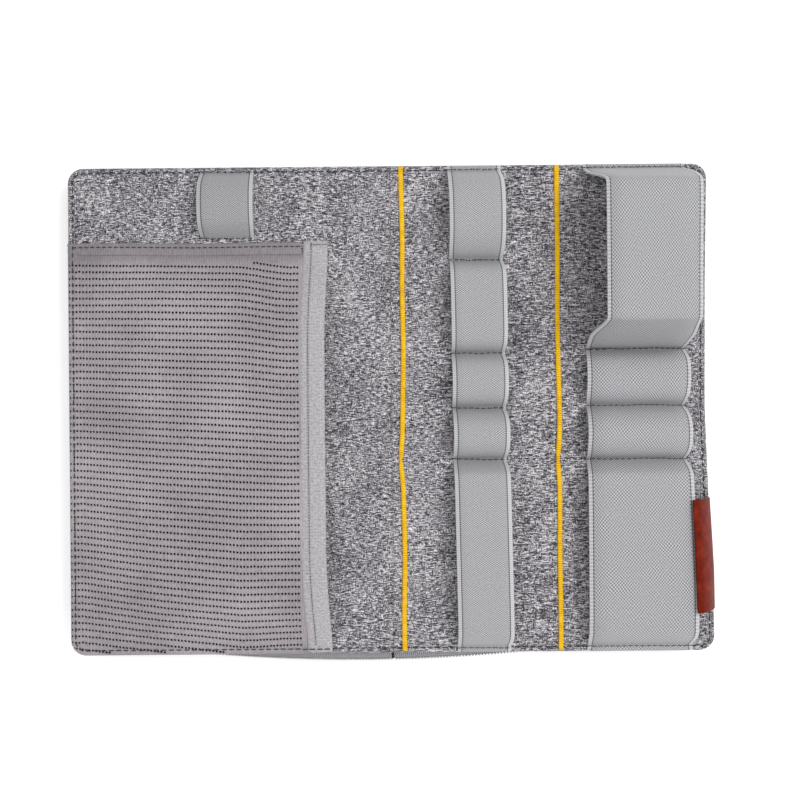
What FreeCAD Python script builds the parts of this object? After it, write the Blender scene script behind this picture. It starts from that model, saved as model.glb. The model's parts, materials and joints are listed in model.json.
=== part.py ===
import FreeCAD, Part
import math
import os

# Cable organizer pouch: a flat padded pouch with a zip along one long edge, and elastic loops,
# a mesh pocket and slip pockets sewn to its front. It lies on its back. All lengths are millimetres.
# Origin: centre of the back panel's underside. +X along the long edges, +Z up, the zip at -Y.

# Plan of both panels
LENGTH = 288.0
WIDTH = 220.0
CORNER_RADIUS = 7.0
SIDE_WALL = 1.0
RIGHT = LENGTH / 2
TOP = WIDTH / 2

# Layers, from the table up
FABRIC = 0.8
BACK_FOAM = 1.6
LINING = 0.4
ROOM_HEIGHT = 8.4
BOARD = 0.8
FRONT_FOAM = 1.2
POCKET_CLOTH = 0.6
SEAM_GAP = 0.3

Z_BACK_FOAM = FABRIC
Z_BACK_LINING = Z_BACK_FOAM + BACK_FOAM
Z_ROOM = Z_BACK_LINING + LINING
Z_FRONT_LINING = Z_ROOM + ROOM_HEIGHT
Z_BOARD = Z_FRONT_LINING + LINING
Z_FRONT_FOAM = Z_BOARD + BOARD
Z_FRONT_FABRIC = Z_FRONT_FOAM + FRONT_FOAM
Z_FACE = Z_FRONT_FABRIC + FABRIC
Z_WIDE_POCKET = Z_FACE + POCKET_CLOTH
Z_NARROW_POCKET = Z_WIDE_POCKET + POCKET_CLOTH
Z_SEAM = (Z_ROOM + Z_FRONT_LINING) / 2

# Slip pockets, bound in yellow along their open left edges
BINDING_WIDTH = 2.5
BINDING_THICKNESS = 1.1
WIDE_POCKET_EDGE = 3.7
NARROW_POCKET_EDGE = 73.6
POCKET_INSET = 0.5

# Mesh pocket, open towards +X
MESH_CLOTH = 0.8
MESH_TOP = 75.7
HEM_HEIGHT = 5.5
HEM_THICKNESS = 1.6
TAPE_WIDTH = 11.0
TAPE_THICKNESS = 1.4
TAPE_RIGHT = -29.5
MESH_SEAM_INSET = 0.8
MESH_RISE = 6.5
MESH_LEFT_SLOPE = 26.0
MESH_BOTTOM_SLOPE = 17.0
MESH_TOP_SLOPE = 18.0

# Elastic bands. Each loop is (stitch row it starts from, rise of its first corner, distance to it,
# rise of its last corner, distance from it to the next stitch row).
ELASTIC = 1.0
STITCH_FLAT = 0.8
NARROW_BAND = (26.3, 51.3)
NARROW_LOOPS = [
    (107.4, 10.5, 8.5, 10.5, 9.0),
    (67.0, 8.2, 7.0, 8.2, 7.0),
    (25.0, 7.6, 6.5, 7.6, 6.5),
    (0.3, 9.4, 6.0, 9.4, 6.0),
    (-22.7, 8.5, 7.5, 8.5, 7.5),
]
NARROW_END = -107.5
WIDE_BAND = (86.0, 134.0)
WIDE_LOOPS = [
    (108.0, 30.5, 9.5, 33.0, 12.0),
    (26.3, 7.6, 6.5, 7.6, 6.5),
    (1.0, 9.4, 6.0, 9.4, 6.0),
    (-23.0, 8.5, 7.5, 8.5, 7.5),
]
WIDE_END = -106.9
CABLE_LOOP = (-86.4, -61.7)
CABLE_LOOPS = [(107.4, 8.0, 7.0, 8.0, 7.0)]
CABLE_LOOP_END = 77.5
CABLE_LOOP_TAIL = 76.0

# Leather tab closing the right-hand end of the phone loop
TAB_THICKNESS = 0.9
TAB_TOP = -40.8
TAB_BOTTOM = -92.4
TAB_OVERLAP = 2.5
TAB_FOOT_Z = 9.0

# Zip: its plane stands upright and is bowed outwards in plan on a large arc
ARC_RADIUS = 780.0
ARC_X = -12.0
CHAIN_Y = -113.0
CHAIN_HALF = 1.2
CHAIN_GAP = 1.0
COIL_HEIGHT = 2.2
COIL_SPINE = 0.9
COIL_PITCH = 1.45
COIL_TOOTH = 0.9
COIL_END_X = 124.0
ZIP_TAPE = 0.4
ZIP_TAPE_HALF = 0.3
ZIP_TAPE_INNER_Y = -94.0
STOP_LENGTH = 1.6
STOP_X = 126.6
END_TAB_X = 128.6

# Slider and pull. The slider is parked at the closed, right-hand end.
SLIDER_PARK_X = 119.0
SLIDER_LENGTH = 10.0
SLIDER_NOSE = 4.6
SLIDER_WIDTH = 7.0
SLIDER_TAPER = 0.9
SLIDER_NOSE_CUT = 1.0
PLATE = 1.2
RUN_GAP = 0.3
WEB_LENGTH = 3.0
WEB_THICKNESS = 0.4
BAIL_HALF_LENGTH = 2.65
BAIL_WIRE = 0.8
BAIL_WIDTH = 1.6
BAR_RADIUS = 0.5
PULL_LENGTH = 22.0
PULL_WIDTH = 4.2
PULL_TIP_WIDTH = 5.0
PULL_SLOT_LENGTH = 4.1
PULL_SLOT_WIDTH = 2.6
PULL_HOLE_RADIUS = 1.1
PULL_HOLE_INSET = 3.5
PULL_SHOULDER = 2.0
PULL_CHAMFER = 1.5

ARC_CENTRE_Y = CHAIN_Y + ARC_RADIUS
Z_AXIS = FreeCAD.Vector(0, 0, 1)
CUTTER = 400.0


def point(x, y, z=0.0):
    return FreeCAD.Vector(x, y, z)


def block(x0, x1, y0, y1, z0, z1):
    return Part.makeBox(x1 - x0, y1 - y0, z1 - z0, point(x0, y0, z0))


def prism(corners, direction):
    """A polygon through the corners, pushed along direction."""
    return Part.Face(Part.makePolygon(corners + corners[:1])).extrude(direction)


def rounded_plate(inset, z0, z1):
    """The panels' rounded outline, moved inwards by inset, between two heights."""
    plate = block(-RIGHT + inset, RIGHT - inset, -TOP + inset, TOP - inset, z0, z1)
    upright = [e for e in plate.Edges if abs(e.Vertexes[0].Z - e.Vertexes[1].Z) > (z1 - z0) / 2]
    return plate.makeFillet(CORNER_RADIUS - inset, upright)


def arc_y(x):
    """Y of the zip's arc at x."""
    return ARC_CENTRE_Y - math.sqrt(ARC_RADIUS ** 2 - (x - ARC_X) ** 2)


def arc_angle(x):
    """Degrees along the arc from its apex to x."""
    return math.degrees(math.asin((x - ARC_X) / ARC_RADIUS))


def along_arc(shape, degrees):
    """A copy of a shape made at the arc's apex, carried along the arc."""
    moved = shape.copy()
    moved.rotate(point(ARC_X, ARC_CENTRE_Y), Z_AXIS, degrees)
    return moved


def arc_disc(radius, z0, z1):
    return Part.makeCylinder(radius, z1 - z0, point(ARC_X, ARC_CENTRE_Y, z0))


def arc_strip(half_thickness, z0, z1, x0, x1):
    """An upright strip that follows the zip's arc from x0 to x1."""
    outer = arc_disc(ARC_RADIUS + half_thickness, z0, z1)
    inner = arc_disc(ARC_RADIUS - half_thickness, z0, z1)
    return outer.cut(inner).common(block(x0, x1, -WIDTH, 0, z0, z1))


# Panels

def side_walls(z0, z1):
    """The gusset walls on the two short sides and the long side away from the zip."""
    walls = rounded_plate(0, z0, z1).cut(rounded_plate(SIDE_WALL, z0, z1))
    for x0, x1, wall_x in ((-CUTTER, 0, -RIGHT), (0, CUTTER, RIGHT)):
        zip_end = arc_y(wall_x) - ZIP_TAPE_HALF
        walls = walls.cut(block(x0, x1, -CUTTER, zip_end, z0 - 1, z1 + 1))
    return walls


def panel_skin(z_face0, z_face1, z_lip0, z_lip1, z_wall0, z_wall1):
    """Outer fabric: its face, the edge turned in all round, and the walls on three sides."""
    lip = rounded_plate(0, z_lip0, z_lip1).cut(rounded_plate(SIDE_WALL, z_lip0, z_lip1))
    skin = rounded_plate(0, z_face0, z_face1).fuse([lip, side_walls(z_wall0, z_wall1)])
    return skin.removeSplitter()


def back_panel():
    return panel_skin(0, FABRIC, FABRIC, Z_ROOM, Z_ROOM, Z_SEAM - SEAM_GAP / 2)


def front_panel():
    return panel_skin(Z_FRONT_FABRIC, Z_FACE, Z_FRONT_LINING, Z_FRONT_FABRIC,
                      Z_SEAM + SEAM_GAP / 2, Z_FRONT_LINING)


def filling(z0, z1):
    """A layer inside a panel's skin."""
    return rounded_plate(SIDE_WALL, z0, z1)


# Slip pockets

def slip_pocket(left_edge, z0):
    cloth = rounded_plate(POCKET_INSET, z0, z0 + POCKET_CLOTH)
    return cloth.common(block(left_edge + BINDING_WIDTH, RIGHT, -TOP, TOP, z0, z0 + POCKET_CLOTH))


def slip_binding(left_edge, z0):
    end = TOP - POCKET_INSET
    return block(left_edge, left_edge + BINDING_WIDTH, -end, end, z0, z0 + BINDING_THICKNESS)


# Mesh pocket

MESH_LEFT = -RIGHT + MESH_SEAM_INSET
MESH_BOTTOM = -TOP + MESH_SEAM_INSET
HEM_BOTTOM = MESH_TOP - HEM_HEIGHT
TAPE_LEFT = TAPE_RIGHT - TAPE_WIDTH


def ramp(value, start, length):
    return max(0.0, min(1.0, (value - start) / length))


def mesh_height(x, y):
    """Height of the mesh's underside: it rises from its three sewn edges to a level middle."""
    sewn_sides = min(ramp(y, MESH_BOTTOM, MESH_BOTTOM_SLOPE), ramp(-y, -HEM_BOTTOM, MESH_TOP_SLOPE))
    return Z_FACE + MESH_RISE * min(sewn_sides, ramp(x, MESH_LEFT, MESH_LEFT_SLOPE))


def triangle(a, b, c):
    return Part.Face(Part.makePolygon([a, b, c, a]))


def sheet_solid(xs, ys, thickness):
    """A closed sheet over a grid of x and y, resting on mesh_height."""
    def grid(lift):
        return [[point(x, y, mesh_height(x, y) + lift) for y in ys] for x in xs]

    low = grid(0.0)
    high = grid(thickness)
    faces = []
    for layer in (low, high):
        for i in range(len(xs) - 1):
            for j in range(len(ys) - 1):
                a, b, c, d = layer[i][j], layer[i + 1][j], layer[i + 1][j + 1], layer[i][j + 1]
                faces += [triangle(a, b, c), triangle(a, c, d)]
    columns = [(i, 0) for i in range(len(xs))]
    columns += [(len(xs) - 1, j) for j in range(1, len(ys))]
    columns += [(i, len(ys) - 1) for i in range(len(xs) - 2, -1, -1)]
    columns += [(0, j) for j in range(len(ys) - 2, -1, -1)]
    for (i, j), (k, m) in zip(columns, columns[1:]):
        a, b, c, d = low[i][j], low[k][m], high[k][m], high[i][j]
        faces += [triangle(a, b, c), triangle(a, c, d)]
    return Part.Solid(Part.Shell(faces))


def mesh_rows():
    return [MESH_BOTTOM, MESH_BOTTOM + MESH_BOTTOM_SLOPE, HEM_BOTTOM - MESH_TOP_SLOPE, HEM_BOTTOM]


def mesh_pocket():
    cloth = sheet_solid([MESH_LEFT, MESH_LEFT + MESH_LEFT_SLOPE, TAPE_LEFT], mesh_rows(), MESH_CLOTH)
    return cloth.common(rounded_plate(MESH_SEAM_INSET, Z_FACE, Z_FACE + MESH_RISE + 2 * MESH_CLOTH))


def mesh_top_hem():
    return block(MESH_LEFT, TAPE_LEFT, HEM_BOTTOM, MESH_TOP, Z_FACE, Z_FACE + HEM_THICKNESS)


def mesh_edge_tape():
    over_hem = block(TAPE_LEFT, TAPE_RIGHT, HEM_BOTTOM, MESH_TOP, Z_FACE, Z_FACE + TAPE_THICKNESS)
    return sheet_solid([TAPE_LEFT, TAPE_RIGHT], mesh_rows(), TAPE_THICKNESS).fuse(over_hem)


# Elastic bands

def loop_line(loops, end, top_edge, bottom_edge, base):
    """The underside of a band, from the top edge down, as (y, z): flat at each stitch row."""
    line = [(top_edge, base)]
    rows = [loop[0] for loop in loops] + [end]
    for (row, first_rise, first_run, last_rise, last_run), next_row in zip(loops, rows[1:]):
        line.append((row - STITCH_FLAT, base))
        line.append((row - first_run, base + first_rise))
        line.append((next_row + last_run, base + last_rise))
        line.append((next_row + STITCH_FLAT, base))
    line.append((bottom_edge, base))
    return line


def upper_side(line, thickness):
    """The line moved to its upper side by thickness, mitred at each bend."""
    normals = []
    for (y0, z0), (y1, z1) in zip(line, line[1:]):
        length = math.hypot(y1 - y0, z1 - z0)
        normals.append(((z1 - z0) / length, (y0 - y1) / length))
    moved = []
    for (y, z), before, after in zip(line, normals[:1] + normals, normals + normals[-1:]):
        sum_y = before[0] + after[0]
        sum_z = before[1] + after[1]
        scale = thickness / (1 + before[0] * after[0] + before[1] * after[1])
        moved.append((y + sum_y * scale, z + sum_z * scale))
    return moved


def elastic(x_range, line):
    """A band of elastic across x_range that follows the line."""
    outline = line + upper_side(line, ELASTIC)[::-1]
    corners = [point(x_range[0], y, z) for y, z in outline]
    return prism(corners, point(x_range[1] - x_range[0], 0, 0))


def narrow_elastic_band():
    return elastic(NARROW_BAND, loop_line(NARROW_LOOPS, NARROW_END, TOP, -TOP, Z_WIDE_POCKET))


def wide_elastic_band():
    return elastic(WIDE_BAND, loop_line(WIDE_LOOPS, WIDE_END, TOP, -TOP, Z_NARROW_POCKET))


def cable_loop_left():
    return elastic(CABLE_LOOP, loop_line(CABLE_LOOPS, CABLE_LOOP_END, TOP, CABLE_LOOP_TAIL, Z_FACE))


def leather_end_tab():
    """A strip sewn to the wide band's edge, sloping to the panel's edge and turned down over it."""
    z_band = Z_NARROW_POCKET + WIDE_LOOPS[-1][1] + ELASTIC
    z_edge = Z_NARROW_POCKET
    outer = RIGHT + TAB_THICKNESS
    section = [
        (WIDE_BAND[1] - TAB_OVERLAP, z_band),
        (WIDE_BAND[1], z_band),
        (RIGHT, z_edge),
        (RIGHT, TAB_FOOT_Z),
        (outer, TAB_FOOT_Z),
        (outer, z_edge + TAB_THICKNESS / 2),
        (WIDE_BAND[1] + TAB_THICKNESS / 2, z_band + TAB_THICKNESS),
        (WIDE_BAND[1] - TAB_OVERLAP, z_band + TAB_THICKNESS),
    ]
    corners = [point(x, TAB_BOTTOM, z) for x, z in section]
    return prism(corners, point(0, TAB_TOP - TAB_BOTTOM, 0))


# Zip

TAPE_END = RIGHT - SIDE_WALL


def zip_tape(z_flange0, z_flange1, z_upright0, z_upright1):
    """Woven tape: a flange sewn to the lining and an upright strip that carries the coil."""
    flange = arc_disc(ARC_RADIUS + ZIP_TAPE_HALF, z_flange0, z_flange1)
    flange = flange.common(block(-TAPE_END, TAPE_END, -CUTTER, ZIP_TAPE_INNER_Y, z_flange0, z_flange1))
    upright = arc_strip(ZIP_TAPE_HALF, z_upright0, z_upright1, -TAPE_END, TAPE_END)
    return flange.fuse(upright).removeSplitter()


Z_BACK_COIL_TOP = Z_SEAM - CHAIN_GAP / 2
Z_FRONT_COIL_LOW = Z_SEAM + CHAIN_GAP / 2
Z_BACK_COIL_LOW = Z_BACK_COIL_TOP - COIL_HEIGHT
Z_FRONT_COIL_TOP = Z_FRONT_COIL_LOW + COIL_HEIGHT


def zip_coil(z_spine0, z_teeth0, z_teeth1, start):
    """One side of the coil: its teeth in a row along a spine. start shifts the row by part of a pitch."""
    spine = arc_strip(CHAIN_HALF, z_spine0, z_spine0 + COIL_SPINE, -COIL_END_X, COIL_END_X)
    tooth = block(ARC_X - COIL_TOOTH / 2, ARC_X + COIL_TOOTH / 2,
                  CHAIN_Y - CHAIN_HALF, CHAIN_Y + CHAIN_HALF, z_teeth0, z_teeth1)
    step = math.degrees(COIL_PITCH / ARC_RADIUS)
    first = arc_angle(-COIL_END_X + COIL_TOOTH) + start * step
    count = int((arc_angle(COIL_END_X - COIL_TOOTH) - first) / step) + 1
    teeth = [along_arc(tooth, first + step * k) for k in range(count)]
    return spine.fuse(teeth)


def zip_coil_back():
    z0 = Z_BACK_COIL_LOW
    return zip_coil(z0, z0, Z_BACK_COIL_TOP, 0.0)


def zip_coil_front():
    z1 = Z_FRONT_COIL_TOP
    return zip_coil(z1 - COIL_SPINE, Z_FRONT_COIL_LOW, z1, 0.5)


def stop_block(x, z0, z1):
    half = STOP_LENGTH / 2
    made = block(ARC_X - half, ARC_X + half, CHAIN_Y - CHAIN_HALF, CHAIN_Y + CHAIN_HALF, z0, z1)
    return along_arc(made, arc_angle(x))


def zip_bottom_stop():
    """The stop at the open end, held by the back tape."""
    return stop_block(-STOP_X, Z_BACK_COIL_LOW, Z_FRONT_COIL_LOW)


def zip_top_stop_back():
    return stop_block(STOP_X, Z_BACK_COIL_LOW, Z_BACK_COIL_TOP)


def zip_top_stop_front():
    return stop_block(STOP_X, Z_FRONT_COIL_LOW, Z_FRONT_COIL_TOP)


def zip_end_tab(x0, x1):
    """Fabric that closes the corner between the end of the coil and the side wall."""
    return arc_strip(ZIP_TAPE_HALF, Z_BACK_COIL_LOW, Z_FRONT_COIL_TOP - RUN_GAP, x0, x1)


def slider_plate(y0, y1):
    """One plate of the slider, tapered towards its tail."""
    half = SLIDER_WIDTH / 2
    tail = half - SLIDER_TAPER
    nose = ARC_X + SLIDER_NOSE
    end = nose - SLIDER_LENGTH
    shoulder = nose - SLIDER_NOSE_CUT
    lower = [point(x, y0, Z_SEAM - z) for x, z in ((end, tail), (ARC_X, half), (shoulder, half), (nose, tail))]
    upper = [point(x, y0, Z_SEAM + z) for x, z in ((nose, tail), (shoulder, half), (ARC_X, half), (end, tail))]
    corners = lower + upper
    return prism(corners, point(0, y1 - y0, 0))


PLATE_INSIDE = CHAIN_HALF + RUN_GAP
PLATE_OUTSIDE = PLATE_INSIDE + PLATE


def zip_slider_body():
    """Two plates round the chain, joined by a web that runs in the gap between the two coils."""
    outer = slider_plate(CHAIN_Y - PLATE_OUTSIDE, CHAIN_Y - PLATE_INSIDE)
    inner = slider_plate(CHAIN_Y + PLATE_INSIDE, CHAIN_Y + PLATE_OUTSIDE)
    nose = ARC_X + SLIDER_NOSE
    half_web = WEB_THICKNESS / 2
    web = block(nose - WEB_LENGTH, nose, CHAIN_Y - PLATE_INSIDE, CHAIN_Y + PLATE_INSIDE,
                Z_SEAM - half_web, Z_SEAM + half_web)
    return along_arc(outer.fuse([inner, web]), arc_angle(SLIDER_PARK_X))


PIVOT_OUT = PLATE_OUTSIDE + RUN_GAP + BAR_RADIUS
BRIDGE_INSIDE = PIVOT_OUT + BAR_RADIUS + RUN_GAP


def zip_bail():
    """The arch on the slider's outer plate that the pull hangs in."""
    half = BAIL_WIDTH / 2
    z0 = Z_SEAM - half
    z1 = Z_SEAM + half
    y_top = CHAIN_Y - BRIDGE_INSIDE - BAIL_WIRE
    arch = block(ARC_X - BAIL_HALF_LENGTH, ARC_X + BAIL_HALF_LENGTH, y_top, CHAIN_Y - PLATE_OUTSIDE, z0, z1)
    inside = BAIL_HALF_LENGTH - BAIL_WIRE
    hole = block(ARC_X - inside, ARC_X + inside, CHAIN_Y - BRIDGE_INSIDE, CHAIN_Y - PLATE_OUTSIDE, z0, z1)
    return along_arc(arch.cut(hole), arc_angle(SLIDER_PARK_X))


def zip_pull():
    """A flat tab whose cross bar runs in the bail, with a slot for the bail and a hole at its tip."""
    y0 = CHAIN_Y - PIVOT_OUT - BAR_RADIUS
    thickness = 2 * BAR_RADIUS
    half = PULL_WIDTH / 2
    tip = PULL_TIP_WIDTH / 2
    end = ARC_X - PULL_LENGTH
    corners = [
        point(ARC_X, y0, Z_SEAM - half), point(ARC_X, y0, Z_SEAM + half),
        point(end + PULL_SHOULDER, y0, Z_SEAM + tip), point(end, y0, Z_SEAM + tip - PULL_CHAMFER),
        point(end, y0, Z_SEAM - tip + PULL_CHAMFER), point(end + PULL_SHOULDER, y0, Z_SEAM - tip),
    ]
    plate = prism(corners, point(0, thickness, 0))
    bar = Part.makeCylinder(BAR_RADIUS, PULL_WIDTH, point(ARC_X, CHAIN_Y - PIVOT_OUT, Z_SEAM - half))
    slot_half = PULL_SLOT_WIDTH / 2
    slot = block(ARC_X - PULL_SLOT_LENGTH, ARC_X - BAR_RADIUS, y0, y0 + thickness,
                 Z_SEAM - slot_half, Z_SEAM + slot_half)
    hole_centre = point(end + PULL_HOLE_INSET, y0, Z_SEAM)
    hole = Part.makeCylinder(PULL_HOLE_RADIUS, thickness, hole_centre, point(0, 1, 0))
    return along_arc(plate.fuse(bar).cut(slot.fuse(hole)), arc_angle(SLIDER_PARK_X))


def all_parts():
    return {
        "back_panel": back_panel(),
        "back_foam": filling(Z_BACK_FOAM, Z_BACK_LINING),
        "back_lining": filling(Z_BACK_LINING, Z_ROOM),
        "front_lining": filling(Z_FRONT_LINING, Z_BOARD),
        "front_board": filling(Z_BOARD, Z_FRONT_FOAM),
        "front_foam": filling(Z_FRONT_FOAM, Z_FRONT_FABRIC),
        "front_panel": front_panel(),
        "slip_pocket_wide": slip_pocket(WIDE_POCKET_EDGE, Z_FACE),
        "slip_pocket_narrow": slip_pocket(NARROW_POCKET_EDGE, Z_WIDE_POCKET),
        "slip_binding_wide": slip_binding(WIDE_POCKET_EDGE, Z_FACE),
        "slip_binding_narrow": slip_binding(NARROW_POCKET_EDGE, Z_WIDE_POCKET),
        "mesh_pocket": mesh_pocket(),
        "mesh_top_hem": mesh_top_hem(),
        "mesh_edge_tape": mesh_edge_tape(),
        "cable_loop_left": cable_loop_left(),
        "narrow_elastic_band": narrow_elastic_band(),
        "wide_elastic_band": wide_elastic_band(),
        "leather_end_tab": leather_end_tab(),
        "zip_tape_back": zip_tape(Z_ROOM, Z_ROOM + ZIP_TAPE, Z_ROOM + ZIP_TAPE, Z_BACK_COIL_LOW),
        "zip_tape_front": zip_tape(Z_FRONT_LINING - ZIP_TAPE, Z_FRONT_LINING,
                                   Z_FRONT_COIL_TOP, Z_FRONT_LINING - ZIP_TAPE),
        "zip_coil_back": zip_coil_back(),
        "zip_coil_front": zip_coil_front(),
        "zip_bottom_stop": zip_bottom_stop(),
        "zip_top_stop_back": zip_top_stop_back(),
        "zip_top_stop_front": zip_top_stop_front(),
        "zip_end_tab_left": zip_end_tab(-TAPE_END + SEAM_GAP, -END_TAB_X),
        "zip_end_tab_right": zip_end_tab(END_TAB_X, TAPE_END - SEAM_GAP),
        "zip_slider_body": zip_slider_body(),
        "zip_bail": zip_bail(),
        "zip_pull": zip_pull(),
    }


os.makedirs("parts", exist_ok=True)
for name, shape in all_parts().items():
    shape.exportStep("parts/" + name + ".step")
    box = shape.BoundBox
    print(name, "valid" if shape.isValid() else "INVALID", len(shape.Solids), "solid",
          "x %.1f %.1f y %.1f %.1f z %.1f %.1f" % (box.XMin, box.XMax, box.YMin, box.YMax, box.ZMin, box.ZMax))
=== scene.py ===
import json
import math

import bpy
import numpy as np
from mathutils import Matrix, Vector


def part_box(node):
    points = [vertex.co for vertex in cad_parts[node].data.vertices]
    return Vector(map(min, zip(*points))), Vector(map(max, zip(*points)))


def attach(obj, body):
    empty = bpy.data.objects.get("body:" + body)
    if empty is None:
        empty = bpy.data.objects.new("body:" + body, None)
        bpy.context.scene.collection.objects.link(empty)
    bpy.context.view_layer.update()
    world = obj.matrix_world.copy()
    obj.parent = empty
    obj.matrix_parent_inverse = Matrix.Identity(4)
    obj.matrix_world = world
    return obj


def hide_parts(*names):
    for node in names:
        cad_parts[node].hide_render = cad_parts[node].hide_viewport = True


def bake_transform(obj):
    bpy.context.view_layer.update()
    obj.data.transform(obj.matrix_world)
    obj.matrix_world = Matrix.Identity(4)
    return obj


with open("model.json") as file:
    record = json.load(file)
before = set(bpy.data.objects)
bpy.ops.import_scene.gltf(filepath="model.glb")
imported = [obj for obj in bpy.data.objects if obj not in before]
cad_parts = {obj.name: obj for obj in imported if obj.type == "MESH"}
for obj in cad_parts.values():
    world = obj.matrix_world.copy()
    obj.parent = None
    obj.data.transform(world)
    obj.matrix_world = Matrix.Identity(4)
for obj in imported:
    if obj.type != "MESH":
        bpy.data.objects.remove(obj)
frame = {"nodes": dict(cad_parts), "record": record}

# A cable organizer pouch, lying on its back. Blender works in metres. The shapes here are worked out
# in millimetres, from the boxes of the CAD nodes, and MM turns them into metres.
MM = 0.001
rng = np.random.default_rng(7)


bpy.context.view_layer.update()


def node_box(node):
    """The lowest and highest corner of a CAD node, in millimetres."""
    low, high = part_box(node)
    return np.array(low) / MM, np.array(high) / MM


FRONT_LOW, FRONT_HIGH = node_box("front_panel")
BACK_HIGH = node_box("back_panel")[1]
HEM_LOW, HEM_HIGH = node_box("mesh_top_hem")
TAPE_LOW, TAPE_HIGH = node_box("mesh_edge_tape")
HALF_X, HALF_Y = FRONT_HIGH[0], FRONT_HIGH[1]
Z_SEAM = (FRONT_LOW[2] + BACK_HIGH[2]) / 2
Z_FACE = FRONT_HIGH[2]
CORNER = 7.0
EDGE_ROUND = 1.7
STITCH_INSET = 2.5
STITCH_PITCH = 3.3
POCKET_CLOTH = 0.55
FIRST_ROW = 66.0
# Painted shade: how much darker the heather cloth is coloured under the mesh pocket.
UNDER_MESH_SHADE = 0.94


# ---------------------------------------------------------------- camera, light and floor

CAMERA_X, CAMERA_Y = 3.65, 4.2
CAMERA_HEIGHT = 445.0
CAMERA_ROLL = -0.0087
FOCAL_SHARE = 1.2342          # focal length over the picture's width
SENSOR = 36.0
LIGHTS = [("key", (0.7, 0.35, 1.0), 0.6, 7.5), ("fill", (-0.8, -0.2, 1.0), 0.9, 2.0),
          ("near_fill", (0.2, -1.1, 0.9), 0.8, 4.5)]
WORLD_STRENGTH = 0.68
FLOOR = 3.0


def make_camera():
    data = bpy.data.cameras.new("camera")
    data.sensor_width = SENSOR
    data.lens = SENSOR * FOCAL_SHARE
    data.clip_start = 0.01
    camera = bpy.data.objects.new("camera", data)
    camera.location = (CAMERA_X * MM, CAMERA_Y * MM, (Z_FACE + CAMERA_HEIGHT) * MM)
    camera.rotation_euler = (0.0, 0.0, CAMERA_ROLL)
    bpy.context.scene.collection.objects.link(camera)
    bpy.context.scene.camera = camera


def area_light(name, place, size, power):
    """A round lamp that shines at the origin."""
    data = bpy.data.lights.new(name, "AREA")
    data.shape = "DISK"
    data.size = size
    data.energy = power
    light = bpy.data.objects.new(name, data)
    light.location = place
    light.rotation_euler = (-Vector(place)).to_track_quat("-Z", "Y").to_euler()
    bpy.context.scene.collection.objects.link(light)


def make_studio():
    scene = bpy.context.scene
    scene.view_settings.view_transform = "Standard"
    world = bpy.data.worlds.new("studio")
    world.use_nodes = True
    background = world.node_tree.nodes["Background"]
    background.inputs["Color"].default_value = (1.0, 1.0, 1.0, 1.0)
    background.inputs["Strength"].default_value = WORLD_STRENGTH
    scene.world = world
    for light in LIGHTS:
        area_light(*light)

    mesh = bpy.data.meshes.new("floor")
    corners = [(-FLOOR, -FLOOR, 0), (FLOOR, -FLOOR, 0), (FLOOR, FLOOR, 0), (-FLOOR, FLOOR, 0)]
    mesh.from_pydata(corners, [], [(0, 1, 2, 3)])
    floor = bpy.data.objects.new("floor", mesh)
    scene.collection.objects.link(floor)
    floor.data.materials.append(floor_material())


# ---------------------------------------------------------------- material helpers

def linear(colour):
    """An sRGB colour of 0 to 255 as linear RGBA."""
    share = np.array(colour) / 255.0
    values = np.where(share <= 0.04045, share / 12.92, ((share + 0.055) / 1.055) ** 2.4)
    return (*[float(v) for v in values], 1.0)


def grey(level, blue=3):
    return (level, level, level + blue)


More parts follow.
